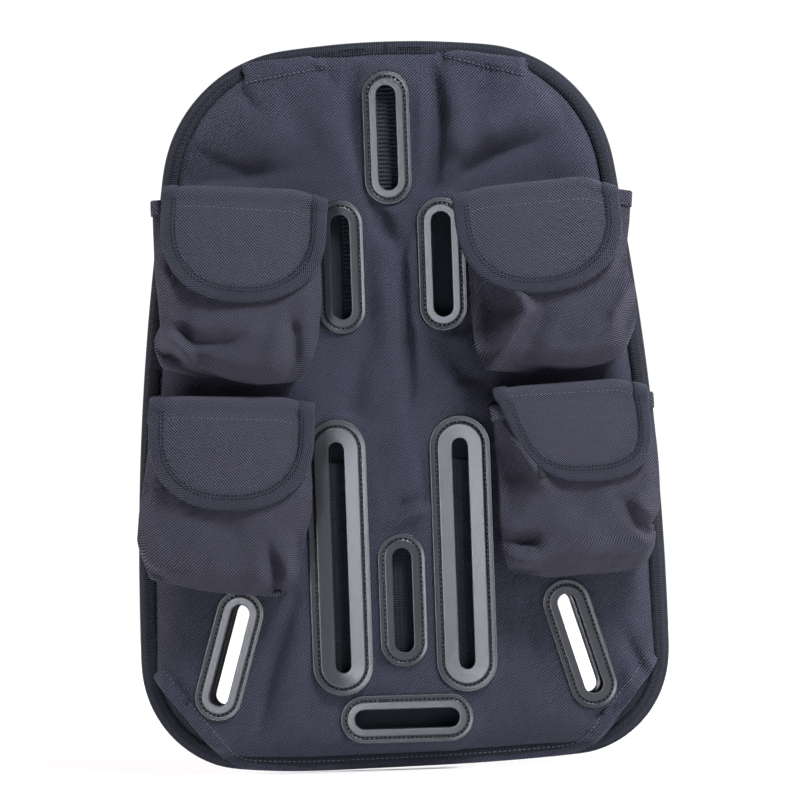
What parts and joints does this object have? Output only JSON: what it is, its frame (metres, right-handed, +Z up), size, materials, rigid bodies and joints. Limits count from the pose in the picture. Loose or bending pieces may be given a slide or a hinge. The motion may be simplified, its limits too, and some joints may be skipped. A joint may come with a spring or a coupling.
{
  "type": "buoyancy harness back pad",
  "caption": "Soft padded back sleeve of a dive harness with webbing slots in moulded patches and bellows pockets under hinged D-shaped flaps.",
  "frame": {"origin": "middle of the flat back face", "axes": "+Z up the spine, +Y out of the back face towards the diver, -Y out of the pockets, +X to the right of someone facing the pockets"},
  "size_m": [0.2826, 0.0414, 0.3882],
  "materials": {
    "panel_fabric": "matt twill nylon",
    "pocket_fabric": "matt twill nylon",
    "back_fabric": "matt ripstop nylon",
    "edge_tape": "ribbed grosgrain tape",
    "flap_tape": "twill binding tape",
    "webbing": "ribbed nylon webbing",
    "foam": "closed-cell foam sheet",
    "facing": "plain woven nylon",
    "patch_rubber": "satin moulded rubber",
    "fastener": "hook-and-loop tape"
  },
  "bodies": {
    "root": {"back_cover": "back_fabric", "back_foam": "foam", "bottom_edge_hem": "panel_fabric", "bottom_left_hem": "panel_fabric", "bottom_right_hem": "panel_fabric", "centre_webbing": "webbing", "crotch_slot_patch": "patch_rubber", "edge_binding": "edge_tape", "front_panel": "panel_fabric", "inner_facing": "facing", "long_slot_patch_left": "patch_rubber", "long_slot_patch_right": "patch_rubber", "lower_left_flap_root": "pocket_fabric", "lower_left_loop_patch": "fastener", "lower_left_pocket_bag": "pocket_fabric", "lower_left_pocket_hem": "pocket_fabric", "lower_right_flap_root": "pocket_fabric", "lower_right_loop_patch": "fastener", "lower_right_pocket_bag": "pocket_fabric", "lower_right_pocket_hem": "pocket_fabric", "lumbar_webbing": "webbing", "middle_slot_patch": "patch_rubber", "neck_slot_patch_left": "patch_rubber", "neck_slot_patch_right": "patch_rubber", "rear_waist_slot_patch_left": "patch_rubber", "rear_waist_slot_patch_right": "patch_rubber", "top_left_hem": "panel_fabric", "top_right_hem": "panel_fabric", "top_slot_patch": "patch_rubber", "upper_left_flap_root": "pocket_fabric", "upper_left_loop_patch": "fastener", "upper_left_pocket_bag": "pocket_fabric", "upper_left_pocket_hem": "pocket_fabric", "upper_right_flap_root": "pocket_fabric", "upper_right_loop_patch": "fastener", "upper_right_pocket_bag": "pocket_fabric", "upper_right_pocket_hem": "pocket_fabric", "waist_slot_patch_left": "patch_rubber", "waist_slot_patch_right": "patch_rubber"},
    "upper_left_flap": {"upper_left_flap_lid": "pocket_fabric", "upper_left_flap_binding": "flap_tape", "upper_left_hook_patch": "fastener"},
    "upper_right_flap": {"upper_right_flap_lid": "pocket_fabric", "upper_right_flap_binding": "flap_tape", "upper_right_hook_patch": "fastener"},
    "lower_left_flap": {"lower_left_flap_lid": "pocket_fabric", "lower_left_flap_binding": "flap_tape", "lower_left_hook_patch": "fastener"},
    "lower_right_flap": {"lower_right_flap_lid": "pocket_fabric", "lower_right_flap_binding": "flap_tape", "lower_right_hook_patch": "fastener"}
  },
  "joints": [
    {"name": "upper_left_flap_hinge", "type": "hinge", "parent": "root", "child": "upper_left_flap", "pos_m": [-0.07926, -0.0268, 0.11316], "axis": [-0.9973, 0, 0.0732], "range_deg": [0, 165]},
    {"name": "upper_right_flap_hinge", "type": "hinge", "parent": "root", "child": "upper_right_flap", "pos_m": [0.07926, -0.0268, 0.11316], "axis": [-0.9973, 0, -0.0732], "range_deg": [0, 165]},
    {"name": "lower_left_flap_hinge", "type": "hinge", "parent": "root", "child": "lower_left_flap", "pos_m": [-0.09105, -0.0268, 0.00341], "axis": [-0.999, 0, 0.0436], "range_deg": [0, 85]},
    {"name": "lower_right_flap_hinge", "type": "hinge", "parent": "root", "child": "lower_right_flap", "pos_m": [0.09105, -0.0268, 0.00341], "axis": [-0.999, 0, -0.0436], "range_deg": [0, 85]}
  ]
}
